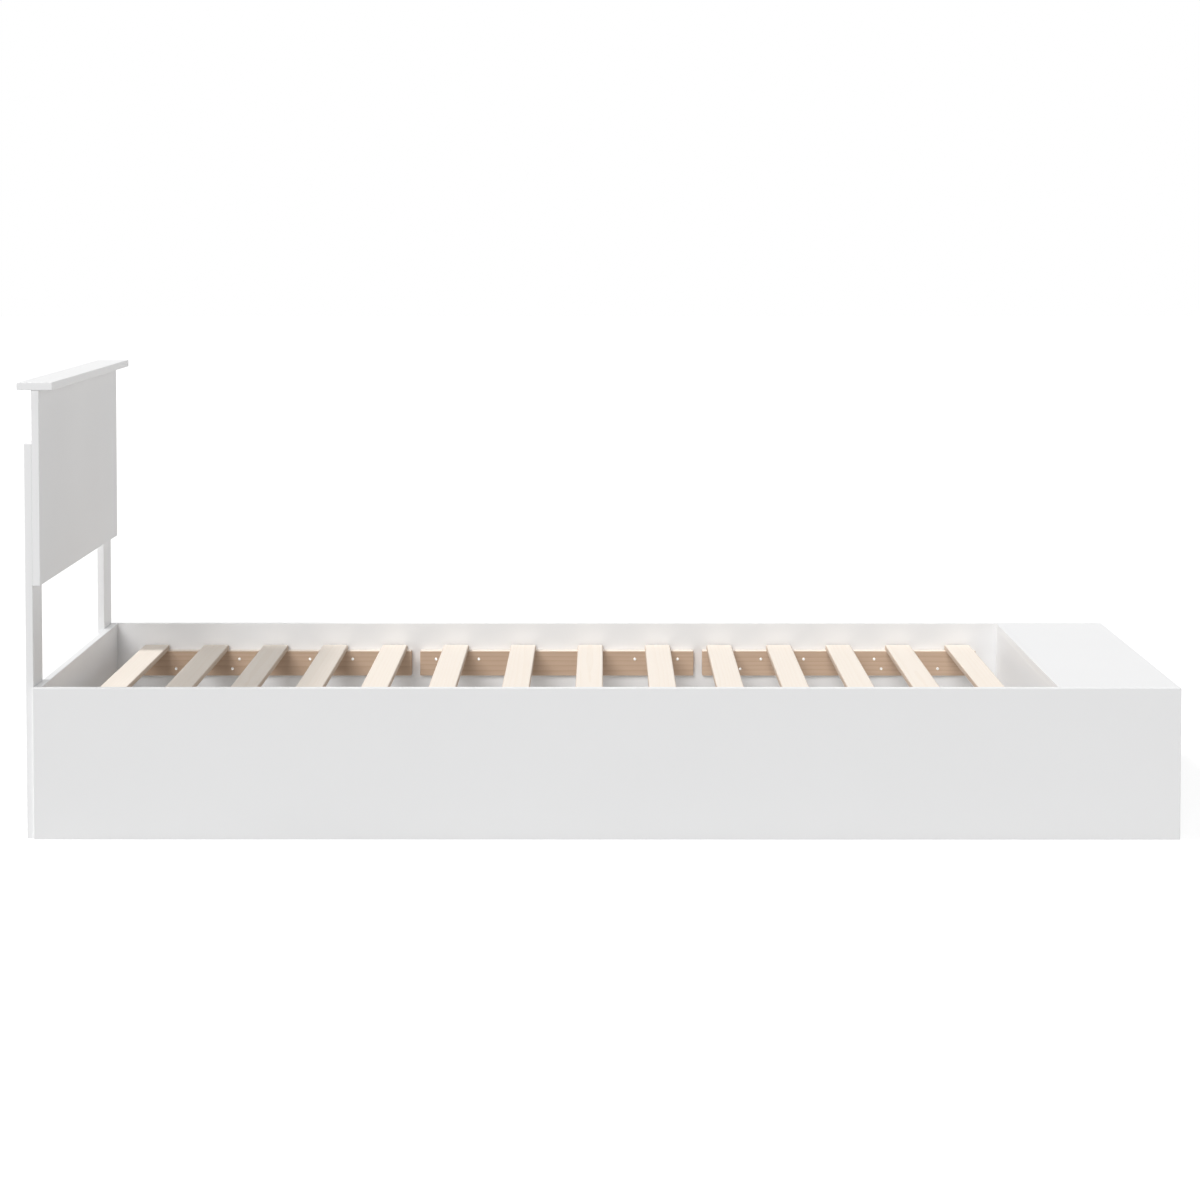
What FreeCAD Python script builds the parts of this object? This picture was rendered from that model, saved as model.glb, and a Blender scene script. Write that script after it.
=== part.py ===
import FreeCAD, Part
import os
import re
import Sketcher

# Single bed frame of white boards: two full-length side rails, a headboard on two posts with a ledge
# along its top, slats on battens, and a shelf unit under a flat top at the foot end.
# The bed lies along X with its head towards -X. Lengths are in millimetres.

# Each driving size: its name, its value and what it measures.
SIZES = (
    ("mattress_length", "2000", "recess for the mattress, from head-end panel to foot shelf"),
    ("mattress_width", "900", "recess for the mattress, between the side rails"),
    ("panel_thickness", "15", "every white board"),
    ("edge_break", "1", "chamfer on the edges of every board, batten and slat"),
    ("rail_height", "300", "side rails and head-end panel, from the floor"),
    ("post_width", "95", "plank posts behind the headboard"),
    ("post_drop", "105", "posts' tops, below the headboard's top"),
    ("headboard_inset", "10", "headboard and posts, in from the rails' outer faces"),
    ("headboard_gap", "200", "open gap between the head-end panel and the headboard"),
    ("headboard_height", "385", "headboard, without the ledge"),
    ("ledge_depth", "70", "ledge along the top of the headboard"),
    ("ledge_overhang", "5", "ledge, past each end of the headboard"),
    ("shelf_depth", "240", "foot shelf, along the bed"),
    ("plinth_height", "30", "plinth under the shelf's bottom board"),
    ("plinth_setback", "20", "plinth, back from the foot face"),
    ("batten_height", "56", "batten"),
    ("batten_thickness", "25", "batten"),
    ("batten_gap", "20", "between two battens in a row"),
    ("batten_end_gap", "50", "between the row of battens and each end of the recess"),
    ("slat_width", "57", "slat"),
    ("slat_thickness", "12", "slat"),
    ("slat_drop", "48", "slat's top face, below the rails' top edges"),
    ("slat_end_gap", "6", "between a slat's end and the rail"),
    ("slat_corner_cut", "5", "slat's cut-off corners, seen from above"),
    ("end_slat_outer_inset", "12", "first slat on an end batten, from the batten's outer end"),
    ("end_slat_inner_inset", "10", "last slat on an end batten, from the batten's inner end"),
    ("middle_slat_inset", "52.9", "outer slats on a middle batten, from the batten's ends"),
    ("screw_head_diameter", "7", "wood screw's head"),
    ("screw_head_height", "2.2", "wood screw's head"),
    ("screw_shank_diameter", "3.6", "wood screw's shank"),
    ("screw_bite", "10", "how far a wood screw goes into the second board"),
    ("upper_screw_drop", "18", "upper row of batten screws, below the batten's top"),
    ("upper_screw_start", "80", "upper row's inner screws, from the batten's middle"),
    ("upper_screw_inset", "36", "upper row's outer screws, from the batten's ends"),
    ("lower_screw_drop", "40", "lower row of batten screws, below the batten's top"),
    ("lower_screw_start", "96", "lower row's inner screws, from the batten's middle"),
    ("lower_screw_inset", "86", "lower row's outer screws, from the batten's ends"),
    ("post_screw_margin", "40", "post screws, in from the edges of the boards they hold"),
    ("cam_diameter", "15", "bore of a cam lock"),
    ("cam_depth", "12", "bore of a cam lock"),
    ("cam_setback", "34", "cam's centre, from the edge of the board that holds it"),
    ("cam_slot_width", "2", "screwdriver slot in a cam's face"),
    ("cam_slot_length", "10", "screwdriver slot in a cam's face"),
    ("cam_slot_depth", "1.5", "screwdriver slot in a cam's face"),
    ("bolt_diameter", "6", "bolt that a cam draws in"),
    ("bolt_bite", "10", "how far a cam's bolt goes into the other board"),
    ("upright_cam_height", "140", "cams of the upright boards between the rails, from the floor"),
    ("upright_dowel_height", "60", "dowels of the upright boards between the rails, from the floor"),
    ("ledge_cam_spread", "330", "outer cams under the ledge, from the middle"),
    ("dowel_diameter", "8", "wooden dowel"),
    ("dowel_length", "30", "wooden dowel"),
    ("dowel_bite", "10", "how far a dowel goes into a board's face"),
    ("dowel_spread", "70", "a board's two dowels, from the middle of its edge"),
    ("fit_clearance", "0.2", "round every fastener in its hole"),
    ("cut_overrun", "1", "how far a drilling tool starts outside the wood"),
)
# Shanks, bolts and dowels lie buried in the wood and are many, so they and their holes have few sides.
BURIED_SIDES = 6
SCREW_HEAD_SIDES = 8

BATTENS_PER_SIDE = 3
UPPER_SCREW_COUNT = 6
LOWER_SCREW_COUNT = 4
SLATS_PER_GROUP = (5, 4, 5)

# Places along the bed, measured from the posts' back faces, as formulas of the sizes.
RECESS_START = "(2 * panel_thickness)"
RECESS_MIDDLE = f"({RECESS_START} + mattress_length / 2)"
FOOT_FACE = f"({RECESS_START} + mattress_length + shelf_depth)"
HEADBOARD_MIDDLE = "(panel_thickness + panel_thickness / 2)"
ORIGIN = f"(({FOOT_FACE} + {HEADBOARD_MIDDLE} - ledge_depth / 2) / 2)"

RAIL_LENGTH = "(panel_thickness + mattress_length + shelf_depth)"
RAIL_MIDDLE = "(mattress_width + panel_thickness) / 2"
HEADBOARD_WIDTH = "(mattress_width + 2 * panel_thickness - 2 * headboard_inset)"
HEADBOARD_BOTTOM = "(rail_height + headboard_gap)"
HEADBOARD_TOP = f"({HEADBOARD_BOTTOM} + headboard_height)"
POST_HEIGHT = f"({HEADBOARD_TOP} - post_drop)"
SHELF_INSIDE_DEPTH = "(shelf_depth - panel_thickness)"
SHELF_FLOOR = "(plinth_height + panel_thickness)"
BATTEN_ROW_GAPS = f"(2 * batten_end_gap + {BATTENS_PER_SIDE - 1} * batten_gap)"
BATTEN_LENGTH = f"((mattress_length - {BATTEN_ROW_GAPS}) / {BATTENS_PER_SIDE})"
SLAT_UNDERSIDE = "(rail_height - slat_drop - slat_thickness)"

# Which way each side of the bed lies along Y, and the square that every rectangle is drawn from.
SIDES = {"left": -1, "right": 1}
UNIT_SQUARE = ((-1, -1), (1, -1), (1, 1), (-1, 1))

doc = FreeCAD.newDocument("bed_frame")
sheet = doc.addObject("Spreadsheet::Sheet", "sizes")
for row, (name, value, meaning) in enumerate(SIZES, start=1):
    sheet.set(f"A{row}", meaning)
    sheet.set(f"B{row}", value)
    sheet.setAlias(f"B{row}", name)
doc.recompute()

# Boards before drilling and finished sub-parts, by node name.
boards = {}
parts = {}


def mm(name):
    """One driving size, read from the sheet."""
    return float(sheet.get(name))


def formula(text):
    """A formula of size names, written as the document's expressions need it."""
    return re.sub(r"[a-z]\w*", lambda word: "sizes." + word.group(), text)


def bind(item, values):
    """Binds an object's properties to formulas of the sizes."""
    for path, text in values.items():
        item.setExpression(path, formula(text))


def put(item, x, y, z):
    """Binds an object's place: x from the posts' back faces, y from the middle, z from the floor."""
    bind(
        item,
        {
            "Placement.Base.x": f"{x} - {ORIGIN}",
            "Placement.Base.y": y,
            "Placement.Base.z": z,
        },
    )


def origin_plane(body, role):
    """One of a body's own origin planes."""
    return next(item for item in body.Origin.OriginFeatures if item.Role == role)


def rectangle(sketch, across, up):
    """Draws a rectangle of bound sizes, centred on the sketch's origin."""
    corners = [FreeCAD.Vector(x, y, 0) for x, y in UNIT_SQUARE]
    for start, end in zip(corners, corners[1:] + corners[:1]):
        sketch.addGeometry(Part.LineSegment(start, end))
    side = (corners[1] - corners[0]).Length
    for line in range(4):
        sketch.addConstraint(Sketcher.Constraint("Coincident", line, 2, (line + 1) % 4, 1))
        sketch.addConstraint(Sketcher.Constraint(("Horizontal", "Vertical")[line % 2], line))
    sketch.addConstraint(Sketcher.Constraint("Symmetric", 0, 1, 1, 2, -1, 1))
    width = sketch.addConstraint(Sketcher.Constraint("DistanceX", 0, 1, 0, 2, side))
    height = sketch.addConstraint(Sketcher.Constraint("DistanceY", 1, 1, 1, 2, side))
    bind(sketch, {f"Constraints[{width}]": across, f"Constraints[{height}]": up})


def plain_board(name, plane, across, up, thickness):
    """A board padded both ways from its middle plane; returns its body and its pad."""
    body = doc.addObject("PartDesign::Body", name)
    sketch = body.newObject("Sketcher::SketchObject", name + "_outline")
    sketch.AttachmentSupport = [(origin_plane(body, plane), "")]
    sketch.MapMode = "FlatFace"
    rectangle(sketch, across, up)
    pad = body.newObject("PartDesign::Pad", name + "_pad")
    pad.Profile = sketch
    pad.Midplane = True
    bind(pad, {"Length": thickness})
    return body, pad


def board(name, plane, across, up, thickness="panel_thickness"):
    """A board with all its edges broken by a small chamfer."""
    body, pad = plain_board(name, plane, across, up, thickness)
    edges = body.newObject("PartDesign::Chamfer", name + "_edges")
    edges.Base = (pad, ["Edge1"])
    edges.UseAllEdges = True
    bind(edges, {"Size": "edge_break"})
    return body


def primitive(kind, name, values, **settings):
    """A Part primitive with bound sizes."""
    item = doc.addObject(kind, name)
    for key, value in settings.items():
        setattr(item, key, value)
    bind(item, values)
    return item


def combine(kind, name, base, tool):
    """A Part boolean of two objects."""
    item = doc.addObject(kind, name)
    item.Base = base
    item.Tool = tool
    return item


# White boards

def side_rails():
    """Two full-length side rails, which butt against the posts at the head."""
    for side, sign in SIDES.items():
        rail = board(f"side_rail_{side}_board", "XZ_Plane", RAIL_LENGTH, "rail_height")
        put(rail, f"panel_thickness + {RAIL_LENGTH} / 2", f"{sign} * {RAIL_MIDDLE}", "rail_height / 2")
        boards[f"side_rail_{side}"] = rail


def head_end():
    """Head-end panel between the rails, and behind it the posts that carry the headboard and its ledge."""
    panel = board("head_end_panel_board", "YZ_Plane", "mattress_width", "rail_height")
    put(panel, HEADBOARD_MIDDLE, "0", "rail_height / 2")
    boards["head_end_panel"] = panel

    headboard = board("headboard_panel_board", "YZ_Plane", HEADBOARD_WIDTH, "headboard_height")
    put(headboard, HEADBOARD_MIDDLE, "0", f"{HEADBOARD_TOP} - headboard_height / 2")
    boards["headboard_panel"] = headboard

    ledge_length = f"{HEADBOARD_WIDTH} + 2 * ledge_overhang"
    ledge = board("headboard_ledge_board", "XY_Plane", "ledge_depth", ledge_length)
    put(ledge, HEADBOARD_MIDDLE, "0", f"{HEADBOARD_TOP} + panel_thickness / 2")
    boards["headboard_ledge"] = ledge

    for side, sign in SIDES.items():
        post = board(f"headboard_post_{side}_board", "YZ_Plane", "post_width", POST_HEIGHT)
        offset = f"{sign} * ({HEADBOARD_WIDTH} - post_width) / 2"
        put(post, "panel_thickness / 2", offset, f"{POST_HEIGHT} / 2")
        boards[f"headboard_post_{side}"] = post


def foot_shelf():
    """Open shelf unit across the foot end, its top level with the rails."""
    top = board("foot_shelf_top_board", "XY_Plane", "shelf_depth", "mattress_width")
    put(top, f"{FOOT_FACE} - shelf_depth / 2", "0", "rail_height - panel_thickness / 2")
    boards["foot_shelf_top"] = top

    inner_height = "(rail_height - panel_thickness)"
    inner = board("foot_shelf_inner_panel_board", "YZ_Plane", "mattress_width", inner_height)
    put(inner, f"{FOOT_FACE} - shelf_depth + panel_thickness / 2", "0", f"{inner_height} / 2")
    boards["foot_shelf_inner_panel"] = inner

    inside_middle = f"{FOOT_FACE} - {SHELF_INSIDE_DEPTH} / 2"
    bottom = board("foot_shelf_bottom_board", "XY_Plane", SHELF_INSIDE_DEPTH, "mattress_width")
    put(bottom, inside_middle, "0", "plinth_height + panel_thickness / 2")
    boards["foot_shelf_bottom"] = bottom

    inside_height = f"(rail_height - panel_thickness - {SHELF_FLOOR})"
    divider = board("foot_shelf_divider_board", "XZ_Plane", SHELF_INSIDE_DEPTH, inside_height)
    put(divider, inside_middle, "0", f"{SHELF_FLOOR} + {inside_height} / 2")
    boards["foot_shelf_divider"] = divider

    plinth = board("foot_shelf_plinth_board", "YZ_Plane", "mattress_width", "plinth_height")
    put(plinth, f"{FOOT_FACE} - plinth_setback - panel_thickness / 2", "0", "plinth_height / 2")
    boards["foot_shelf_plinth"] = plinth


# Slats and their battens

def battens():
    """Three battens in a row along each rail, which carry the slats."""
    for side, sign in SIDES.items():
        for place in range(BATTENS_PER_SIDE):
            step = place - (BATTENS_PER_SIDE - 1) / 2
            node = f"slat_batten_{side}_{place + 1}"
            name = node + "_board"
            batten = board(name, "XZ_Plane", BATTEN_LENGTH, "batten_height", "batten_thickness")
            put(
                batten,
                f"{RECESS_MIDDLE} + {step} * ({BATTEN_LENGTH} + batten_gap)",
                f"{sign} * (mattress_width - batten_thickness) / 2",
                f"{SLAT_UNDERSIDE} - batten_height / 2",
            )
            boards[node] = batten


def edge_names(feature, upright):
    """The feature's upright edges, or its level ones."""
    doc.recompute()
    boxes = [edge.BoundBox for edge in feature.Shape.Edges]
    stands = [box.ZLength > max(box.XLength, box.YLength) for box in boxes]
    return [f"Edge{number}" for number, stand in enumerate(stands, start=1) if stand == upright]


def slat(node, x):
    """One slat across the bed, with its four corners cut off and its level edges broken."""
    length = "mattress_width - 2 * slat_end_gap"
    body, pad = plain_board(node, "XY_Plane", "slat_width", length, "slat_thickness")
    corners = body.newObject("PartDesign::Chamfer", node + "_corners")
    corners.Base = (pad, edge_names(pad, upright=True))
    bind(corners, {"Size": "slat_corner_cut"})
    edges = body.newObject("PartDesign::Chamfer", node + "_edges")
    edges.Base = (corners, edge_names(corners, upright=False))
    bind(edges, {"Size": "edge_break"})
    put(body, x, "0", f"{SLAT_UNDERSIDE} + slat_thickness / 2")
    parts[node] = body


def slats():
    """A group of slats on each pair of battens, spread evenly between its first and its last slat."""
    insets = (
        ("end_slat_outer_inset", "end_slat_inner_inset"),
        ("middle_slat_inset", "middle_slat_inset"),
        ("end_slat_inner_inset", "end_slat_outer_inset"),
    )
    made = 0
    for place, (count, (before, after)) in enumerate(zip(SLATS_PER_GROUP, insets)):
        start = f"{RECESS_START} + batten_end_gap + {place} * ({BATTEN_LENGTH} + batten_gap)"
        first = f"{start} + {before} + slat_width / 2"
        pitch = f"({BATTEN_LENGTH} - {before} - {after} - slat_width) / {count - 1}"
        for step in range(count):
            made += 1
            slat(f"slat_{made:02d}", f"{first} + {step} * {pitch}")


# Fasteners: each is modelled once, with the hole that it needs, and then set at all its places.

def screw(name, through):
    """A flat-headed wood screw and its drill, with the head's underside at the origin and the head up."""
    length = f"({through} + screw_bite)"
    head = primitive(
        "Part::Prism",
        name + "_head",
        {"Circumradius": "screw_head_diameter / 2", "Height": "screw_head_height"},
        Polygon=SCREW_HEAD_SIDES,
    )
    shank = primitive(
        "Part::Prism",
        name + "_shank",
        {
            "Circumradius": "screw_shank_diameter / 2",
            "Height": length,
            "Placement.Base.z": f"-{length}",
        },
        Polygon=BURIED_SIDES,
    )
    drill = primitive(
        "Part::Prism",
        name + "_drill",
        {
            "Circumradius": "screw_shank_diameter / 2 + fit_clearance",
            "Height": f"{length} + fit_clearance + cut_overrun",
            "Placement.Base.z": f"-{length} - fit_clearance",
        },
        Polygon=BURIED_SIDES,
    )
    return combine("Part::Fuse", name, head, shank), drill


def cam_lock():
    """A cam, its bolt and their drill. The origin is on the joint between the boards, Z points into the
    board that takes the bolt, and X points out of the face that holds the cam."""
    quarter_turn = FreeCAD.Rotation(FreeCAD.Vector(0, 1, 0), 90)
    facing_x = FreeCAD.Placement(FreeCAD.Vector(), quarter_turn)
    barrel = primitive(
        "Part::Cylinder",
        "cam_barrel",
        {
            "Radius": "cam_diameter / 2 - fit_clearance",
            "Height": "cam_depth - fit_clearance",
            "Placement.Base.x": "panel_thickness / 2 - cam_depth + fit_clearance",
            "Placement.Base.z": "-cam_setback",
        },
        Placement=facing_x,
    )
    mouth = primitive(
        "Part::Box",
        "cam_mouth",
        {
            "Length": "bolt_diameter + 2 * fit_clearance",
            "Width": "bolt_diameter + 2 * fit_clearance",
            "Height": "cam_diameter",
            "Placement.Base.x": "-bolt_diameter / 2 - fit_clearance",
            "Placement.Base.y": "-bolt_diameter / 2 - fit_clearance",
            "Placement.Base.z": "-cam_setback - fit_clearance",
        },
    )
    slot = primitive(
        "Part::Box",
        "cam_slot",
        {
            "Length": "cam_slot_depth + cut_overrun",
            "Width": "cam_slot_length",
            "Height": "cam_slot_width",
            "Placement.Base.x": "panel_thickness / 2 - cam_slot_depth",
            "Placement.Base.y": "-cam_slot_length / 2",
            "Placement.Base.z": "-cam_setback - cam_slot_width / 2",
        },
    )
    cam = combine("Part::Cut", "cam", combine("Part::Cut", "cam_with_mouth", barrel, mouth), slot)

    bolt = primitive(
        "Part::Prism",
        "cam_bolt",
        {
            "Circumradius": "bolt_diameter / 2",
            "Height": "cam_setback + bolt_bite",
            "Placement.Base.z": "-cam_setback",
        },
        Polygon=BURIED_SIDES,
    )
    cam_drill = primitive(
        "Part::Cylinder",
        "cam_drill",
        {
            "Radius": "cam_diameter / 2",
            "Height": "cam_depth + cut_overrun",
            "Placement.Base.x": "panel_thickness / 2 - cam_depth",
            "Placement.Base.z": "-cam_setback",
        },
        Placement=facing_x,
    )
    bolt_drill = primitive(
        "Part::Prism",
        "cam_bolt_drill",
        {
            "Circumradius": "bolt_diameter / 2 + fit_clearance",
            "Height": "cam_setback + bolt_bite + fit_clearance",
            "Placement.Base.z": "-cam_setback",
        },
        Polygon=BURIED_SIDES,
    )
    return cam, bolt, combine("Part::Fuse", "cam_joint_drill", cam_drill, bolt_drill)


def dowel():
    """A dowel and its drill: the origin is on the joint, and Z goes into the board drilled in its face."""
    peg = primitive(
        "Part::Prism",
        "dowel",
        {
            "Circumradius": "dowel_diameter / 2",
            "Height": "dowel_length",
            "Placement.Base.z": "dowel_bite - dowel_length",
        },
        Polygon=BURIED_SIDES,
    )
    drill = primitive(
        "Part::Prism",
        "dowel_drill",
        {
            "Circumradius": "dowel_diameter / 2 + fit_clearance",
            "Height": "dowel_length + 2 * fit_clearance",
            "Placement.Base.z": "dowel_bite - dowel_length - fit_clearance",
        },
        Polygon=BURIED_SIDES,
    )
    return peg, drill


def aimed(point, along, facing=None):
    """A placement at a point with Z along one direction and, where it matters, X along another."""
    if facing is None:
        return FreeCAD.Placement(point, FreeCAD.Rotation(FreeCAD.Vector(0, 0, 1), along))
    return FreeCAD.Placement(point, FreeCAD.Rotation(facing, FreeCAD.Vector(), along, "ZXY"))


def copies(master, places):
    """The master's shape at each place, as separate solids."""
    return [master.Shape.transformed(place.toMatrix()) for place in places]


def group(node, solids):
    """Identical fasteners in one node."""
    item = doc.addObject("Part::Feature", node)
    item.Shape = Part.makeCompound(solids)
    parts[node] = item


def batten_screw_places(batten, inward):
    """Two rows of screws on a batten's open face."""
    box = batten.Shape.BoundBox
    face = box.YMax if inward.y > 0 else box.YMin
    places = []
    for row, count in (("upper", UPPER_SCREW_COUNT), ("lower", LOWER_SCREW_COUNT)):
        height = box.ZMax - mm(f"{row}_screw_drop")
        start = mm(f"{row}_screw_start")
        steps = count // 2
        pitch = (box.XLength / 2 - mm(f"{row}_screw_inset") - start) / (steps - 1)
        for step in range(steps):
            reach = start + step * pitch
            for x in (box.Center.x - reach, box.Center.x + reach):
                places.append(aimed(FreeCAD.Vector(x, face, height), inward))
    return places


def post_screw_places(post):
    """A line of screws up the back of a post: three into the headboard, two into the head-end panel."""
    box = post.Shape.BoundBox
    margin = mm("post_screw_margin")
    headboard_low = boards["headboard_panel"].Shape.BoundBox.ZMin + margin
    headboard_high = box.ZMax - margin
    heights = (
        margin,
        mm("rail_height") - margin,
        headboard_low,
        (headboard_low + headboard_high) / 2,
        headboard_high,
    )
    backward = FreeCAD.Vector(-1, 0, 0)
    return [aimed(FreeCAD.Vector(box.XMin, box.Center.y, height), backward) for height in heights]


def drilled_boards():
    """Sets the fasteners in their places and drills the boards that they join."""
    drills = {node: [] for node in boards}
    outward = {side: FreeCAD.Vector(0, sign, 0) for side, sign in SIDES.items()}
    up = FreeCAD.Vector(0, 0, 1)
    forward = FreeCAD.Vector(1, 0, 0)

    def box(node):
        return boards[node].Shape.BoundBox

    def drill(master, places, nodes):
        for node in nodes:
            drills[node].extend(copies(master, places))

    batten_screw, batten_drill = screw("batten_screw", "batten_thickness")
    post_screw, post_drill = screw("post_screw", "panel_thickness")
    cam, bolt, cam_drill = cam_lock()
    peg, peg_drill = dowel()
    doc.recompute()

    for side in SIDES:
        places = []
        for place in range(BATTENS_PER_SIDE):
            node = f"slat_batten_{side}_{place + 1}"
            here = batten_screw_places(boards[node], -outward[side])
            drill(batten_drill, here, (node, f"side_rail_{side}"))
            places += here
        group(f"batten_screws_{side}", copies(batten_screw, places))

    screw_places = []
    for side in SIDES:
        here = post_screw_places(boards[f"headboard_post_{side}"])
        drill(post_drill, here, (f"headboard_post_{side}", "headboard_panel", "head_end_panel"))
        screw_places += here
    group("post_screws", copies(post_screw, screw_places))

    cam_places = []
    peg_places = []
    for side, away in outward.items():
        rail = f"side_rail_{side}"
        joint = away * (mm("mattress_width") / 2)

        for node in ("head_end_panel", "foot_shelf_inner_panel"):
            middle = box(node).Center.x
            here = [aimed(joint + FreeCAD.Vector(middle, 0, mm("upright_cam_height")), away, forward)]
            drill(cam_drill, here, (node, rail))
            cam_places += here
            here = [aimed(joint + FreeCAD.Vector(middle, 0, mm("upright_dowel_height")), away)]
            drill(peg_drill, here, (node, rail))
            peg_places += here

        top = box("foot_shelf_top").Center
        here = [aimed(joint + FreeCAD.Vector(top.x, 0, top.z), away, -up)]
        drill(cam_drill, here, ("foot_shelf_top", rail))
        cam_places += here

        for node in ("foot_shelf_top", "foot_shelf_bottom"):
            middle = box(node).Center
            here = [
                aimed(joint + FreeCAD.Vector(middle.x + reach, 0, middle.z), away)
                for reach in (-mm("dowel_spread"), mm("dowel_spread"))
            ]
            drill(peg_drill, here, (node, rail))
            peg_places += here

        plinth = box("foot_shelf_plinth").Center
        here = [aimed(joint + FreeCAD.Vector(plinth.x, 0, plinth.z), away)]
        drill(peg_drill, here, ("foot_shelf_plinth", rail))
        peg_places += here

    headboard = box("headboard_panel")
    here = [
        aimed(FreeCAD.Vector(headboard.Center.x, y, headboard.ZMax), up, -forward)
        for y in (-mm("ledge_cam_spread"), 0, mm("ledge_cam_spread"))
    ]
    drill(cam_drill, here, ("headboard_panel", "headboard_ledge"))
    cam_places += here

    divider = box("foot_shelf_divider")
    for height, way, node in (
        (divider.ZMax, up, "foot_shelf_top"),
        (divider.ZMin, -up, "foot_shelf_bottom"),
    ):
        here = [
            aimed(FreeCAD.Vector(divider.Center.x + reach, divider.Center.y, height), way)
            for reach in (-mm("dowel_spread"), mm("dowel_spread"))
        ]
        drill(peg_drill, here, ("foot_shelf_divider", node))
        peg_places += here

    group("cam_locks", copies(cam, cam_places))
    group("cam_bolts", copies(bolt, cam_places))
    group("dowels", copies(peg, peg_places))

    for node, tools in drills.items():
        holes = doc.addObject("Part::Feature", node + "_holes")
        holes.Shape = Part.makeCompound(tools)
        parts[node] = combine("Part::Cut", node, boards[node], holes)


def check():
    """Stops at the first object that failed or sub-part that isn't sound."""
    for item in doc.Objects:
        if "Invalid" in item.State or "Error" in item.State:
            raise RuntimeError(f"{item.Label} failed: {item.State}")
    for node, item in parts.items():
        shape = item.Shape
        if shape.isNull() or not shape.isValid() or not shape.Solids:
            raise RuntimeError(f"{node} has no sound shape")


def write():
    """Writes each sub-part to its own file."""
    os.makedirs("parts", exist_ok=True)
    for node, item in parts.items():
        item.Label = node
        item.Shape.exportStep(f"parts/{node}.step")
        print(f"{node}: {len(item.Shape.Solids)} solids")


side_rails()
head_end()
foot_shelf()
battens()
slats()
doc.recompute()
drilled_boards()
doc.recompute()
check()
write()
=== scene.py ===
import logging
import math
from collections.abc import Callable, Iterable, Iterator
from dataclasses import dataclass, field
from enum import Enum
from functools import cache
from typing import Any, Union

import bmesh
import bpy
from mathutils import Euler, Matrix, Vector


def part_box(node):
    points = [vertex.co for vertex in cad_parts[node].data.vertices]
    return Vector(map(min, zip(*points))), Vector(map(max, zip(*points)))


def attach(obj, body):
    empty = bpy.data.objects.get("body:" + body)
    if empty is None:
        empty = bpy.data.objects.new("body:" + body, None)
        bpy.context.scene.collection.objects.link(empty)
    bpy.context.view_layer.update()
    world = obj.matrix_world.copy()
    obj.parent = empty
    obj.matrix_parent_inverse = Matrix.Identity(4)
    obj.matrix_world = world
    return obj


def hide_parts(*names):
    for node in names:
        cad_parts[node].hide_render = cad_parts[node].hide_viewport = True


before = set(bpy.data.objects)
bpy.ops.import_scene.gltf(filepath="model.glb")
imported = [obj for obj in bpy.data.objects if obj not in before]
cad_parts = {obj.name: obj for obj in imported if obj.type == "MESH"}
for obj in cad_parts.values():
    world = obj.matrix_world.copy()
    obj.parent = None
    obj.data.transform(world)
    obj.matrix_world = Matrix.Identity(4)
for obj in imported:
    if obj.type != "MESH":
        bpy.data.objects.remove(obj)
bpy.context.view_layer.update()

BODY = "root"
MM = 0.001
STRAIGHT = 1e-4
SAME_PLACE = 0.01 * MM
NOISE_MEAN = 0.5

log = logging.getLogger("bed_frame")

Colour = tuple[float, float, float, float]
Waves = tuple[float, float, float]
Feed = Union["Signal", float, tuple[float, ...]]

WHITE: Colour = (1.0, 1.0, 1.0, 1.0)


class Axis(Enum):
    """A direction of the bed: along it, across it or up."""

    ALONG = 0
    ACROSS = 1
    UP = 2

    @property
    def unit(self) -> Vector:
        """The axis as a unit vector."""
        return Vector([float(place == self.value) for place in range(len(Axis))])


def thinnest(low: Vector, high: Vector) -> Axis:
    """The axis along which a box is thinnest.

    Args:
        low: The box's lowest corner.
        high: The box's highest corner.

    Returns:
        The axis of the shortest side.
    """
    size = high - low
    return min(Axis, key=lambda axis: size[axis.value])


class Signal:
    """A shader value, on which Python's operators add Math nodes."""

    def __init__(self, bench: "Bench", socket: bpy.types.NodeSocket | None) -> None:
        """Wraps one output socket of a node on a bench."""
        self.bench = bench
        self.socket = socket

    def __add__(self, other: Feed) -> "Signal":
        """This value plus another."""
        return self.bench.math("ADD", self, other)

    __radd__ = __add__

    def __sub__(self, other: Feed) -> "Signal":
        """This value less another."""
        return self.bench.math("SUBTRACT", self, other)

    def __rsub__(self, other: Feed) -> "Signal":
        """Another value less this one."""
        return self.bench.math("SUBTRACT", other, self)

    def __mul__(self, other: Feed) -> "Signal":
        """This value times another."""
        return self.bench.math("MULTIPLY", self, other)

    __rmul__ = __mul__

    def __pow__(self, exponent: Feed) -> "Signal":
        """This value raised to a power."""
        return self.bench.math("POWER", self, exponent)

    def __rpow__(self, base: Feed) -> "Signal":
        """Another value raised to this one."""
        return self.bench.math("POWER", base, self)


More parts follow.
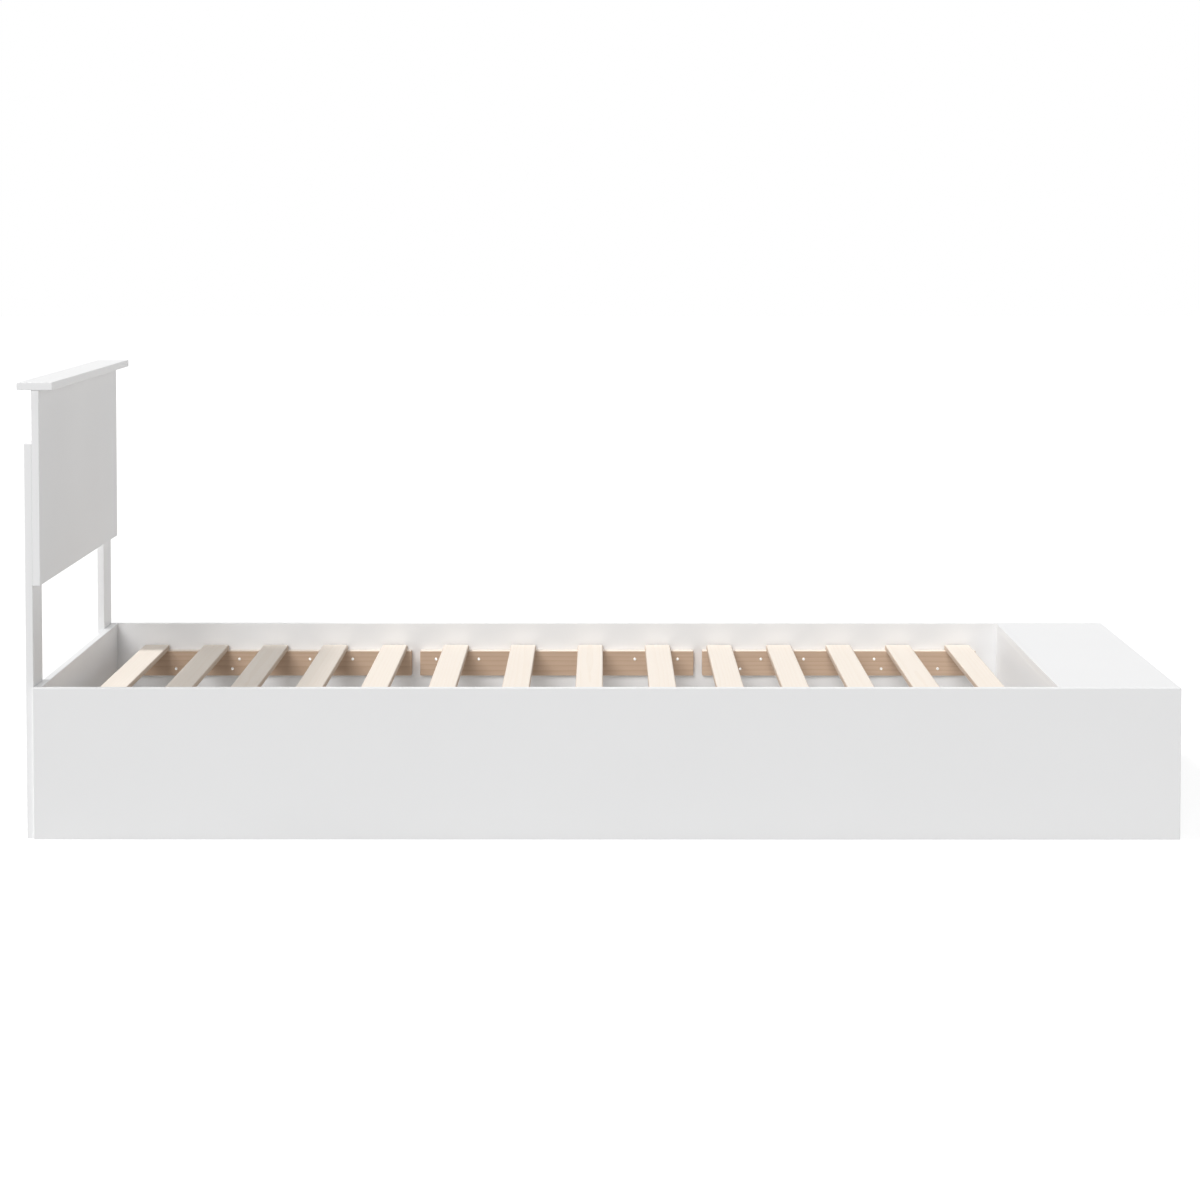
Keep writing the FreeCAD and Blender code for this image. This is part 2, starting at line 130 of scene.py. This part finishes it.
class Bench:
    """A node tree on which a finish, or the world, is put together."""

    def __init__(self, tree: bpy.types.NodeTree) -> None:
        """Starts from an empty tree."""
        tree.nodes.clear()
        self.tree = tree

    @staticmethod
    def _socket(sockets: Iterable[bpy.types.NodeSocket], key: str) -> bpy.types.NodeSocket:
        """The socket whose identifier or, failing that, name is the key."""
        found = [socket for socket in sockets if socket.identifier == key]
        found += [socket for socket in sockets if socket.name == key]
        return found[0]

    def node(
        self,
        kind: str,
        settings: dict[str, Any] | None = None,
        feeds: dict[str, Feed] | None = None,
        output: str = "",
    ) -> Signal:
        """Adds a node, sets it up and feeds its sockets.

        Args:
            kind: The node's type.
            settings: Its properties, which are set first.
            feeds: A link or a plain value for each input that is named.
            output: The output that is wanted, or the first if left out.

        Returns:
            The wanted output, wrapped.
        """
        made = self.tree.nodes.new(kind)
        for name, value in (settings or {}).items():
            setattr(made, name, value)
        for key, feed in (feeds or {}).items():
            socket = self._socket(made.inputs, key)
            if isinstance(feed, Signal):
                self.tree.links.new(feed.socket, socket)
            else:
                socket.default_value = feed
        if not made.outputs:
            return Signal(self, None)
        return Signal(self, self._socket(made.outputs, output) if output else made.outputs[0])

    def math(self, operation: str, *values: Feed) -> Signal:
        """Adds a Math node.

        Args:
            operation: The node's operation.
            values: Its operands, in order.

        Returns:
            The result.
        """
        sockets = ("Value", "Value_001", "Value_002")
        return self.node("ShaderNodeMath", {"operation": operation}, dict(zip(sockets, values)))

    def vector(self, operation: str, first: Feed, second: Feed, output: str = "Vector") -> Signal:
        """Adds a Vector Math node.

        Args:
            operation: The node's operation.
            first: The first vector.
            second: The second vector.
            output: Vector, or Value where the result is a number.

        Returns:
            The result.
        """
        feeds = {"Vector": first, "Vector_001": second}
        return self.node("ShaderNodeVectorMath", {"operation": operation}, feeds, output)

    def noise(self, place: Signal, waves: Waves, detail: float = 2.0) -> Signal:
        """Adds a noise that averages one half.

        Args:
            place: The coordinates.
            waves: Waves per metre along each axis.
            detail: How many finer octaves are added.

        Returns:
            The noise, from 0 to 1.
        """
        scaled = self.vector("MULTIPLY", place, waves)
        feeds = {"Vector": scaled, "Scale": 1.0, "Detail": detail}
        return self.node("ShaderNodeTexNoise", None, feeds)

    def blend(self, share: Feed, first: Feed, second: Feed) -> Signal:
        """Mixes two colours.

        Args:
            share: 0 for the first colour, 1 for the second.
            first: The first colour.
            second: The second colour.

        Returns:
            The mixed colour.
        """
        feeds = {"Factor_Float": share, "A_Color": first, "B_Color": second}
        return self.node("ShaderNodeMix", {"data_type": "RGBA"}, feeds, "Result_Color")

    def bump(self, height: Signal, depth: float) -> Signal:
        """Turns a height from 0 to 1 into a normal.

        Args:
            height: The relief.
            depth: What a height of 1 measures, in metres.

        Returns:
            The normal.
        """
        return self.node("ShaderNodeBump", None, {"Height": height, "Distance": depth})

    def seen_directly(self) -> Signal:
        """1 for rays from the camera or from gloss or glass, and 0 for light on matt surfaces."""
        rays = ("Is Camera Ray", "Is Glossy Ray", "Is Transmission Ray")
        camera, gloss, glass = (self.node("ShaderNodeLightPath", output=ray) for ray in rays)
        return self.math("MAXIMUM", camera, self.math("MAXIMUM", gloss, glass))


@dataclass(frozen=True)
class Finish:
    """A surface finish, which lays out its own shader."""

    name: str

    @cache
    def material(self) -> bpy.types.Material:
        """The finish's material, made once."""
        made = bpy.data.materials.new(self.name)
        made.use_nodes = True
        bench = Bench(made.node_tree)
        bench.node("ShaderNodeOutputMaterial", None, {"Surface": self.surface(bench)})
        return made

    def surface(self, bench: Bench) -> Signal:
        """The finish's shader, laid out on a bench."""
        raise NotImplementedError


@dataclass(frozen=True)
class Melamine(Finish):
    """White melamine faces with plastic bands glued on the narrow edges."""

    facing: Axis
    colour: Colour = (0.888, 0.889, 0.892, 1.0)
    shade: Colour = (0.870, 0.871, 0.874, 1.0)
    band_colour: Colour = (0.898, 0.899, 0.902, 1.0)
    roughness: float = 0.46
    roughness_spread: float = 0.08
    band_roughness: float = 0.38
    cloud_waves: float = 4.0
    peel_waves: float = 700.0
    peel_detail: float = 1.0
    peel_depth: float = 0.02 * MM
    flat_enough: float = 0.9

    def surface(self, bench: Bench) -> Signal:
        """Faint clouds and a fine orange peel on the faces, and plainer, glossier edges."""
        place = bench.node("ShaderNodeTexCoord", output="Object")
        cloud = bench.noise(place, (self.cloud_waves,) * 3)
        peel = bench.noise(place, (self.peel_waves,) * 3, self.peel_detail)
        normal = bench.node("ShaderNodeNewGeometry", output="True Normal")
        tilt = bench.vector("DOT_PRODUCT", normal, tuple(self.facing.unit), "Value")
        face = bench.math("GREATER_THAN", bench.math("ABSOLUTE", tilt), self.flat_enough)
        colour = bench.blend(cloud, self.colour, self.shade)
        face_roughness = self.roughness + (cloud - NOISE_MEAN) * self.roughness_spread
        roughness = face * face_roughness + (1 - face) * self.band_roughness
        return bench.node(
            "ShaderNodeBsdfPrincipled",
            None,
            {
                "Base Color": bench.blend(face, self.band_colour, colour),
                "Roughness": roughness,
                "Normal": bench.bump(peel, self.peel_depth),
            },
        )


@dataclass(frozen=True)
class WoodColours:
    """The colours of the wood that grows early and late in the year."""

    early: Colour
    late: Colour


@dataclass(frozen=True)
class Wood(Finish):
    """Planed wood with rings and fibres, with its upright faces in a darker colour that is painted
    shade.
    """

    level: WoodColours
    # The upright colours are darker than the level ones: painted shade on the sides.
    upright: WoodColours
    level_sharpness: float = 3.0
    ring_contrast: float = 0.5
    ring_width: float = 5.0 * MM
    ring_wander: float = 9.0 * MM
    ring_sharpness: float = 3.0
    ring_wander_waves: Waves = (1.6, 14.0, 14.0)
    ring_wander_detail: float = 3.0
    fibre_contrast: float = 0.35
    fibre_waves: Waves = (14.0, 620.0, 620.0)
    fibre_detail: float = 3.0
    fibre_depth: float = 0.08 * MM
    tone_contrast: float = 0.3
    tone_waves: Waves = (2.2, 9.0, 9.0)
    tone_detail: float = 1.0
    late_share: float = 0.2
    roughness: float = 0.58
    roughness_spread: float = 0.16
    log_place: str = "log_place"

    def surface(self, bench: Bench) -> Signal:
        """Rings round the log's pith, fibres along it, a slow change of tone and painted shade on
        upright faces.
        """
        place = self._place(bench)
        fibre = bench.noise(place, self.fibre_waves, self.fibre_detail) - NOISE_MEAN
        tone = bench.noise(place, self.tone_waves, self.tone_detail) - NOISE_MEAN
        share = self._rings(bench, place) * self.ring_contrast
        share = share + fibre * self.fibre_contrast + tone * self.tone_contrast + self.late_share
        share = bench.node("ShaderNodeClamp", None, {"Value": share})
        # Painted shade: faces that turn away from up blend towards the darker upright colours, as if
        # less light fell on them.
        normal = bench.node("ShaderNodeNewGeometry", output="Normal")
        lean = bench.vector("DOT_PRODUCT", normal, tuple(Axis.UP.unit), "Value")
        level = bench.math("ABSOLUTE", lean) ** self.level_sharpness
        early = bench.blend(level, self.upright.early, self.level.early)
        late = bench.blend(level, self.upright.late, self.level.late)
        return bench.node(
            "ShaderNodeBsdfPrincipled",
            None,
            {
                "Base Color": bench.blend(share, early, late),
                "Roughness": self.roughness + fibre * self.roughness_spread,
                "Normal": bench.bump(fibre, self.fibre_depth),
            },
        )

    def _place(self, bench: Bench) -> Signal:
        """The place in the log that the piece has noted or, failing that, the place in the bed."""
        if not self.log_place:
            return bench.node("ShaderNodeTexCoord", output="Object")
        return bench.node("ShaderNodeAttribute", {"attribute_name": self.log_place}, None, "Vector")

    def _rings(self, bench: Bench, place: Signal) -> Signal:
        """The year rings, each from 0 at its start to 1 at its end."""
        wander = bench.noise(place, self.ring_wander_waves, self.ring_wander_detail) - NOISE_MEAN
        across = bench.vector("MULTIPLY", place, (0.0, 1.0, 1.0))
        from_pith = bench.vector("LENGTH", across, (0.0, 0.0, 0.0), "Value")
        radius = from_pith + wander * self.ring_wander
        return bench.math("FRACT", radius * (1.0 / self.ring_width)) ** self.ring_sharpness


@dataclass(frozen=True)
class Metal(Finish):
    """Plated or cast metal with a slightly uneven gloss."""

    colour: Colour
    shade: Colour
    roughness: float
    roughness_spread: float = 0.12
    patch_waves: float = 300.0
    pit_waves: float = 2500.0
    pit_depth: float = 0.02 * MM

    def surface(self, bench: Bench) -> Signal:
        """Patches of duller metal and fine pits."""
        place = bench.node("ShaderNodeTexCoord", output="Object")
        patch = bench.noise(place, (self.patch_waves,) * 3)
        pits = bench.noise(place, (self.pit_waves,) * 3)
        return bench.node(
            "ShaderNodeBsdfPrincipled",
            None,
            {
                "Base Color": bench.blend(patch, self.colour, self.shade),
                "Metallic": 1.0,
                "Roughness": self.roughness + (patch - NOISE_MEAN) * self.roughness_spread,
                "Normal": bench.bump(pits, self.pit_depth),
            },
        )


PALE_PINE = WoodColours(early=(0.97, 0.89, 0.80, 1.0), late=(0.89, 0.775, 0.655, 1.0))
# Painted shade for the slats' sides: the same pine as the tops, darkened as if in shade.
PAINTED_SHADE_PINE = WoodColours(early=(0.62, 0.49, 0.385, 1.0), late=(0.50, 0.38, 0.285, 1.0))
# The battens' upright faces: partly the battens' own tan and partly painted shade.
TAN_PINE_AND_PAINTED_SHADE = WoodColours(early=(0.65, 0.475, 0.345, 1.0), late=(0.46, 0.30, 0.195, 1.0))
BEECH = WoodColours(early=(0.70, 0.53, 0.36, 1.0), late=(0.56, 0.39, 0.24, 1.0))

# Slats: pale pine on the tops and painted shade on the sides.
SLAT_WOOD = Wood("slat_wood", PALE_PINE, PAINTED_SHADE_PINE, ring_contrast=0.3, fibre_contrast=0.25)
# Battens: pale pine on the edges that face up, and tan with painted shade on the upright faces.
BATTEN_WOOD = Wood(
    "batten_wood",
    PALE_PINE,
    TAN_PINE_AND_PAINTED_SHADE,
    ring_contrast=0.38,
    ring_width=8.0 * MM,
    tone_contrast=0.7,
)
DOWEL_WOOD = Wood("dowel_wood", BEECH, BEECH, log_place="")
SCREW_STEEL = Metal(
    "screw_steel",
    colour=(0.95, 0.945, 0.93, 1.0),
    shade=(0.88, 0.875, 0.85, 1.0),
    roughness=0.44,
)
CAM_ZINC = Metal(
    "cam_zinc",
    colour=(0.62, 0.62, 0.63, 1.0),
    shade=(0.50, 0.50, 0.52, 1.0),
    roughness=0.42,
)


def parallel(edge: bmesh.types.BMEdge, axis: Axis) -> bool:
    """Whether an edge runs along an axis."""
    way = edge.verts[1].co - edge.verts[0].co
    return math.isclose(abs(way.normalized().dot(axis.unit)), 1.0, abs_tol=STRAIGHT)


class Workpiece:
    """A mesh that is being shaped."""

    def __init__(self) -> None:
        """Starts with nothing."""
        self.mesh = bmesh.new()

    def block(self, low: Vector, high: Vector) -> "Workpiece":
        """Adds a box.

        Args:
            low: Its lowest corner.
            high: Its highest corner.

        Returns:
            The workpiece.
        """
        place = Matrix.Translation((low + high) / 2) @ Matrix.Diagonal((high - low).to_4d())
        bmesh.ops.create_cube(self.mesh, size=1.0, matrix=place)
        return self

    def board(self, node: str, edge_break: float, left_share: float) -> "Workpiece":
        """Adds a copy of a drilled board with tighter edges.

        Args:
            node: The board's node.
            edge_break: How far its edges are broken, in metres.
            left_share: How much of that is left.

        Returns:
            The workpiece.
        """
        self.mesh.from_mesh(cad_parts[node].data)
        bmesh.ops.remove_doubles(self.mesh, verts=self.mesh.verts, dist=SAME_PLACE)
        for face in self.mesh.faces:
            face.smooth = False
        low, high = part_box(node)
        for vert in self.mesh.verts:
            for axis in range(len(Axis)):
                for side, inward in ((low[axis], 1.0), (high[axis], -1.0)):
                    depth = (vert.co[axis] - side) * inward
                    if depth <= edge_break:
                        vert.co[axis] = side + depth * left_share * inward
        return self

    def round_edges(
        self, chosen: Callable[[bmesh.types.BMEdge], bool], radius: float, segments: int
    ) -> "Workpiece":
        """Rounds the edges that a test picks, and shades what is rounded smoothly.

        Args:
            chosen: The test.
            radius: The rounding's radius, in metres.
            segments: How many strips make the rounding.

        Returns:
            The workpiece.
        """
        edges = [edge for edge in self.mesh.edges if chosen(edge)]
        made = bmesh.ops.bevel(
            self.mesh,
            geom=edges,
            offset=radius,
            affect="EDGES",
            segments=segments,
            profile=0.5,
            material=-1,
        )
        for face in made["faces"]:
            face.smooth = True
        return self

    def placed(self, places: Iterable[Matrix]) -> "Workpiece":
        """Copies of this workpiece in one mesh.

        Args:
            places: Where each copy goes.

        Returns:
            A new workpiece.
        """
        joined = Workpiece()
        for place in places:
            copy = self.mesh.copy()
            bmesh.ops.transform(copy, matrix=place, verts=copy.verts)
            carrier = bpy.data.meshes.new("copy")
            copy.to_mesh(carrier)
            joined.mesh.from_mesh(carrier)
            copy.free()
            bpy.data.meshes.remove(carrier)
        return joined

    def finished(self, name: str, finish: Finish, slot: str, node: str) -> bpy.types.Object:
        """Makes the workpiece an object that stands for a node of the frame.

        Args:
            name: The piece's name.
            finish: Its finish.
            slot: Not used.
            node: The node that it stands for.

        Returns:
            The piece.
        """
        data = bpy.data.meshes.new(name)
        self.mesh.to_mesh(data)
        self.mesh.free()
        data.materials.append(finish.material())
        piece = bpy.data.objects.new(name, data)
        bpy.context.scene.collection.objects.link(piece)
        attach(piece, BODY)
        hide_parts(node)
        log.info("%s stands for %s, %d faces", name, node, len(data.polygons))
        return piece


def paint(nodes: Iterable[str], finish: Callable[[str], Finish]) -> None:
    """Gives nodes of the frame their finish.

    Args:
        nodes: The nodes' names.
        finish: Picks the finish for a node.
    """
    for node in nodes:
        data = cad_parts[node].data
        data.materials.clear()
        data.materials.append(finish(node).material())
        log.info("%s is finished in %s", node, data.materials[0].name)


def melamine(node: str) -> Finish:
    """The melamine for a board, which depends on the way that its faces lie."""
    facing = thinnest(*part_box(node))
    return Melamine(f"white_board_{facing.name.lower()}", facing)


def solids(node: str) -> Iterator[tuple[Vector, Vector]]:
    """The boxes of a node's separate solids.

    Args:
        node: The node's name.

    Yields:
        Each solid's lowest and highest corner.
    """
    mesh = bmesh.new()
    mesh.from_mesh(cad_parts[node].data)
    bmesh.ops.remove_doubles(mesh, verts=mesh.verts, dist=SAME_PLACE)
    waiting = dict.fromkeys(mesh.verts)
    while waiting:
        reached = [waiting.popitem()[0]]
        for vert in reached:
            for edge in vert.link_edges:
                other = edge.other_vert(vert)
                if other in waiting:
                    del waiting[other]
                    reached.append(other)
        points = [vert.co for vert in reached]
        yield (
            Vector([min(point[axis] for point in points) for axis in range(len(Axis))]),
            Vector([max(point[axis] for point in points) for axis in range(len(Axis))]),
        )
    mesh.free()


def turned(point: Vector, outward: Vector) -> Matrix:
    """A place at a point, with its own Z pointing outward."""
    return Matrix.Translation(point) @ outward.to_track_quat("Z", "Y").to_matrix().to_4x4()


@dataclass
class CrossHead:
    """A round screw head with a cross recess, seated at the origin with its top towards +Z."""

    radius: float
    height: float
    top_share: float = 0.8
    rim_rounding_share: float = 0.4
    rim_strips: int = 3
    sides: int = 24
    arm_reach_share: float = 0.84
    arm_half_width_share: float = 0.24
    recess_share: float = 0.55

    @property
    def flat_radius(self) -> float:
        """The radius of the flat top, inside the rounded rim."""
        return self.radius * self.top_share - self.height * self.rim_rounding_share

    def build(self) -> Workpiece:
        """Makes the head and sinks the cross into it.

        Returns:
            The head.
        """
        head = Workpiece()
        bmesh.ops.create_cone(
            head.mesh,
            cap_ends=True,
            segments=self.sides,
            radius1=self.radius,
            radius2=self.radius * self.top_share,
            depth=self.height,
            matrix=Matrix.Translation((0.0, 0.0, self.height / 2)),
        )
        for face in head.mesh.faces:
            face.smooth = len(face.verts) < self.sides
        head.round_edges(self._on_top, self.height * self.rim_rounding_share, self.rim_strips)
        self._sink_cross(head.mesh)
        return head

    def _on_top(self, edge: bmesh.types.BMEdge) -> bool:
        """Whether an edge lies on the head's flat top."""
        return all(math.isclose(vert.co.z, self.height, abs_tol=SAME_PLACE) for vert in edge.verts)

    def _flat_top(self, mesh: bmesh.types.BMesh) -> list[bmesh.types.BMFace]:
        """The faces of the head's flat top."""
        return [face for face in mesh.faces if all(self._on_top(edge) for edge in face.edges)]

    def _sink_cross(self, mesh: bmesh.types.BMesh) -> None:
        """Cuts the cross's outline into the flat top and pushes it down."""
        reach = self.flat_radius * self.arm_reach_share
        half_width = self.flat_radius * self.arm_half_width_share
        for normal in (Axis.ALONG.unit, Axis.ACROSS.unit):
            for cut in (-reach, -half_width, half_width, reach):
                top = self._flat_top(mesh)
                parts = [part for face in top for part in (face, *face.edges, *face.verts)]
                geom = list(dict.fromkeys(parts))
                bmesh.ops.bisect_plane(mesh, geom=geom, plane_co=normal * cut, plane_no=normal)
        cross = []
        for face in self._flat_top(mesh):
            near, far = sorted(abs(part) for part in face.calc_center_median().to_2d())
            if near < half_width and far < reach:
                cross.append(face)
        edges = dict.fromkeys(edge for face in cross for edge in face.edges)
        made = bmesh.ops.extrude_face_region(mesh, geom=[*cross, *edges])
        floor = [part for part in made["geom"] if isinstance(part, bmesh.types.BMVert)]
        bmesh.ops.translate(mesh, vec=(0.0, 0.0, -self.height * self.recess_share), verts=floor)


@dataclass
class ScrewHeads:
    """The heads of a node's screws, which stand on the low or the high face of a board."""

    node: str
    board: str
    side: int

    def build(self, name: str) -> bpy.types.Object:
        """Makes the heads as large, and where, the node's screws have them.

        Args:
            name: The piece's name.

        Returns:
            The heads, as one piece.
        """
        facing = thinnest(*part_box(self.board))
        face = self._outer_side(*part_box(self.board), facing)
        screws = list(solids(self.node))
        places = []
        for low, high in screws:
            seat = (low + high) / 2
            seat[facing.value] = face
            places.append(turned(seat, self.side * facing.unit))
        low, high = screws[0]
        diameter = max((high - low)[axis.value] for axis in Axis if axis is not facing)
        height = abs(self._outer_side(low, high, facing) - face)
        heads = CrossHead(diameter / 2, height).build().placed(places)
        return heads.finished(name, SCREW_STEEL, "screw_steel", self.node)

    def _outer_side(self, low: Vector, high: Vector, axis: Axis) -> float:
        """Where a box ends on the side that the heads stand on."""
        return (high if self.side > 0 else low)[axis.value]


@dataclass
class SideRails:
    """The two full-length boards at the bed's sides."""

    nodes: tuple[str, ...] = ("side_rail_left", "side_rail_right")

    def dress(self) -> None:
        """Finishes the rails in melamine."""
        paint(self.nodes, melamine)


@dataclass
class HeadEnd:
    """The panel between the rails, the headboard with its ledge, and the posts with their screws."""

    nodes: tuple[str, ...] = (
        "head_end_panel",
        "headboard_panel",
        "headboard_ledge",
        "headboard_post_left",
        "headboard_post_right",
    )

    def dress(self) -> None:
        """Finishes the boards in melamine."""
        paint(self.nodes, melamine)

    def screws(self) -> bpy.types.Object:
        """The screw heads up the backs of the posts."""
        return ScrewHeads("post_screws", "headboard_post_left", side=-1).build("post_screw_heads")


@dataclass
class FootShelf:
    """The open shelf unit across the foot end."""

    nodes: tuple[str, ...] = ("foot_shelf_bottom", "foot_shelf_divider", "foot_shelf_plinth")
    flush_nodes: tuple[str, ...] = ("foot_shelf_top", "foot_shelf_inner_panel")
    edge_break: float = 1.0 * MM
    flush_share: float = 0.2

    def dress(self) -> None:
        """Finishes the boards in melamine."""
        paint(self.nodes, melamine)

    def build(self) -> None:
        """Makes the two boards that meet in a tight seam along the mattress."""
        for node in self.flush_nodes:
            board = Workpiece().board(node, self.edge_break, self.flush_share)
            board.finished(f"{node}_board", melamine(node), "white_melamine", node)


@dataclass
class Plank:
    """A straight piece of sawn wood with rounded corners and eased edges."""

    node: str
    lengthwise: Axis
    corner_radius: float
    edge_radius: float
    number: int
    corner_strips: int = 4
    edge_strips: int = 3
    across_step: float = 23.0 * MM
    through_start: float = 34.0 * MM
    through_step: float = 7.0 * MM
    length_step: float = 1.37
    places_in_log: int = 5

    def build(self, name: str, finish: Wood, slot: str) -> bpy.types.Object:
        """Shapes the plank, notes its place in the log and finishes it.

        Args:
            name: The piece's name.
            finish: Its finish.
            slot: The record's material slot name, which is handed on to finished.

        Returns:
            The plank.
        """
        low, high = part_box(self.node)
        thickness = thinnest(low, high)
        work = Workpiece().block(low, high)
        work.round_edges(
            lambda edge: parallel(edge, thickness), self.corner_radius, self.corner_strips
        )
        work.round_edges(
            lambda edge: not parallel(edge, thickness), self.edge_radius, self.edge_strips
        )
        plank = work.finished(name, finish, slot, self.node)
        self._note_log_place(plank.data, (low + high) / 2, thickness, finish.log_place)
        return plank

    def _note_log_place(
        self, data: bpy.types.Mesh, middle: Vector, thickness: Axis, attribute: str
    ) -> None:
        """Writes each point's place in the log: along it, across the plank and out from the pith."""
        width = next(axis for axis in Axis if axis not in (self.lengthwise, thickness))
        turn = self.number % self.places_in_log - self.places_in_log // 2
        start = Vector(
            (
                self.number * self.length_step,
                turn * self.across_step,
                self.through_start + abs(turn) * self.through_step,
            )
        )
        order = (self.lengthwise, width, thickness)
        layer = data.attributes.new(attribute, "FLOAT_VECTOR", "POINT")
        for point, place in zip(data.vertices, layer.data):
            away = point.co - middle
            place.vector = start + Vector([away[axis.value] for axis in order])


@dataclass
class SlattedBase:
    """The battens along the rails with their screws, and the slats across them."""

    sides: dict[str, int] = field(default_factory=lambda: {"left": -1, "right": 1})
    slat_corner: float = 6.0 * MM
    slat_edge: float = 2.6 * MM
    batten_corner: float = 1.5 * MM
    batten_edge: float = 1.2 * MM

    def slats(self) -> None:
        """Makes the slats."""
        nodes = sorted(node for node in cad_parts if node.removeprefix("slat_").isdigit())
        for number, node in enumerate(nodes):
            plank = Plank(node, Axis.ACROSS, self.slat_corner, self.slat_edge, number)
            plank.build(f"{node}_plank", SLAT_WOOD, "slat_pine")

    def battens(self) -> None:
        """Makes the battens."""
        nodes = sorted(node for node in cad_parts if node.startswith("slat_batten"))
        for number, node in enumerate(nodes):
            plank = Plank(node, Axis.ALONG, self.batten_corner, self.batten_edge, number)
            plank.build(f"{node}_plank", BATTEN_WOOD, "batten_pine")

    def screws(self) -> None:
        """Makes the screw heads on the battens' open faces."""
        for side, sign in self.sides.items():
            heads = ScrewHeads(f"batten_screws_{side}", f"slat_batten_{side}_1", -sign)
            heads.build(f"batten_screw_heads_{side}")


@dataclass
class JointHardware:
    """The cams, their bolts and the dowels that join the boards."""

    finishes: dict[str, Finish] = field(
        default_factory=lambda: {
            "cam_bolts": SCREW_STEEL,
            "dowels": DOWEL_WOOD,
            "cam_locks": CAM_ZINC,
        }
    )

    def dress(self) -> None:
        """Finishes the hardware."""
        paint(self.finishes, lambda node: self.finishes[node])


@dataclass(frozen=True)
class Lamp:
    """A far lamp, with its angles in degrees.

    The bearing is from the camera's side and positive towards the foot, the strength is the
    brightness of a white board that faces the lamp, and the softness is the angle that it fills.
    """

    name: str
    bearing: float
    height: float
    strength: float
    softness: float

    def hang(self) -> None:
        """Adds the lamp to the scene."""
        data = bpy.data.lights.new(self.name, "SUN")
        data.energy = self.strength * math.pi
        data.angle = math.radians(self.softness)
        lamp = bpy.data.objects.new(self.name, data)
        lean = math.pi / 2 - math.radians(self.height)
        lamp.rotation_euler = Euler((lean, 0.0, math.radians(self.bearing)))
        bpy.context.scene.collection.objects.link(lamp)


@dataclass
class Studio:
    """A white floor that keeps the shadow, a white surround and three soft lamps."""

    floor_size: float = 60.0
    floor_colour: Colour = (0.38, 0.38, 0.38, 1.0)
    floor_glow: float = 0.165
    floor_lift: float = 0.635
    surround_light: float = 0.275
    lamps: tuple[Lamp, ...] = (
        Lamp("key", bearing=-90.0, height=53.5, strength=0.622, softness=12.0),
        Lamp("fill", bearing=-9.0, height=21.0, strength=0.448, softness=20.0),
        Lamp("rim", bearing=120.0, height=14.0, strength=0.145, softness=40.0),
    )

    def floor(self) -> bpy.types.Object:
        """Lays the floor.

        Returns:
            The floor.
        """
        mesh = bmesh.new()
        bmesh.ops.create_grid(mesh, x_segments=1, y_segments=1, size=self.floor_size / 2)
        data = bpy.data.meshes.new("floor")
        mesh.to_mesh(data)
        mesh.free()
        material = bpy.data.materials.new("white_floor")
        material.use_nodes = True
        bench = Bench(material.node_tree)
        matt = bench.node("ShaderNodeBsdfDiffuse", None, {"Color": self.floor_colour})
        strength = bench.seen_directly() * self.floor_lift + self.floor_glow
        glow = bench.node("ShaderNodeEmission", None, {"Strength": strength})
        both = bench.node("ShaderNodeAddShader", None, {"Shader": matt, "Shader_001": glow})
        bench.node("ShaderNodeOutputMaterial", None, {"Surface": both})
        data.materials.append(material)
        floor = bpy.data.objects.new("floor", data)
        bpy.context.scene.collection.objects.link(floor)
        return floor

    def surround(self) -> None:
        """Sets the world: white to the eye and in gloss, and a plain even light on the object."""
        world = bpy.data.worlds.new("surround")
        world.use_nodes = True
        bpy.context.scene.world = world
        bench = Bench(world.node_tree)
        strength = bench.seen_directly() * (1.0 - self.surround_light) + self.surround_light
        light = bench.node("ShaderNodeBackground", None, {"Color": WHITE, "Strength": strength})
        bench.node("ShaderNodeOutputWorld", None, {"Surface": light})

    def build(self) -> None:
        """Lays the floor, sets the world and hangs the lamps."""
        self.floor()
        self.surround()
        for lamp in self.lamps:
            lamp.hang()
        bpy.context.scene.view_settings.view_transform = "Standard"


@dataclass
class Viewpoint:
    """A camera at the near side of the bed that looks straight across from a little above it.

    The place is in metres, the angles are in degrees, and the lens and sensor in millimetres.
    """

    place: tuple[float, float, float] = (0.0056, -6.1382, 1.2196)
    downward_tilt: float = 2.658
    turn: float = 0.055
    lens: float = 87.29
    sensor: float = 36.0
    drop: float = -0.205

    def build(self) -> bpy.types.Object:
        """Sets the camera up.

        Returns:
            The camera.
        """
        data = bpy.data.cameras.new("viewpoint")
        data.lens = self.lens
        data.sensor_width = self.sensor
        data.shift_y = self.drop
        camera = bpy.data.objects.new("viewpoint", data)
        camera.location = self.place
        camera.rotation_euler = Euler(
            (math.pi / 2 - math.radians(self.downward_tilt), 0.0, math.radians(self.turn))
        )
        bpy.context.scene.collection.objects.link(camera)
        bpy.context.scene.camera = camera
        return camera


def main() -> None:
    """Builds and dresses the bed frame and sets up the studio."""
    logging.basicConfig(level=logging.INFO, format="%(name)s: %(message)s")
    SideRails().dress()
    head = HeadEnd()
    head.dress()
    head.screws()
    foot = FootShelf()
    foot.dress()
    foot.build()
    base = SlattedBase()
    base.slats()
    base.battens()
    base.screws()
    JointHardware().dress()
    Studio().build()
    Viewpoint().build()


if __name__ == "__main__":
    main()
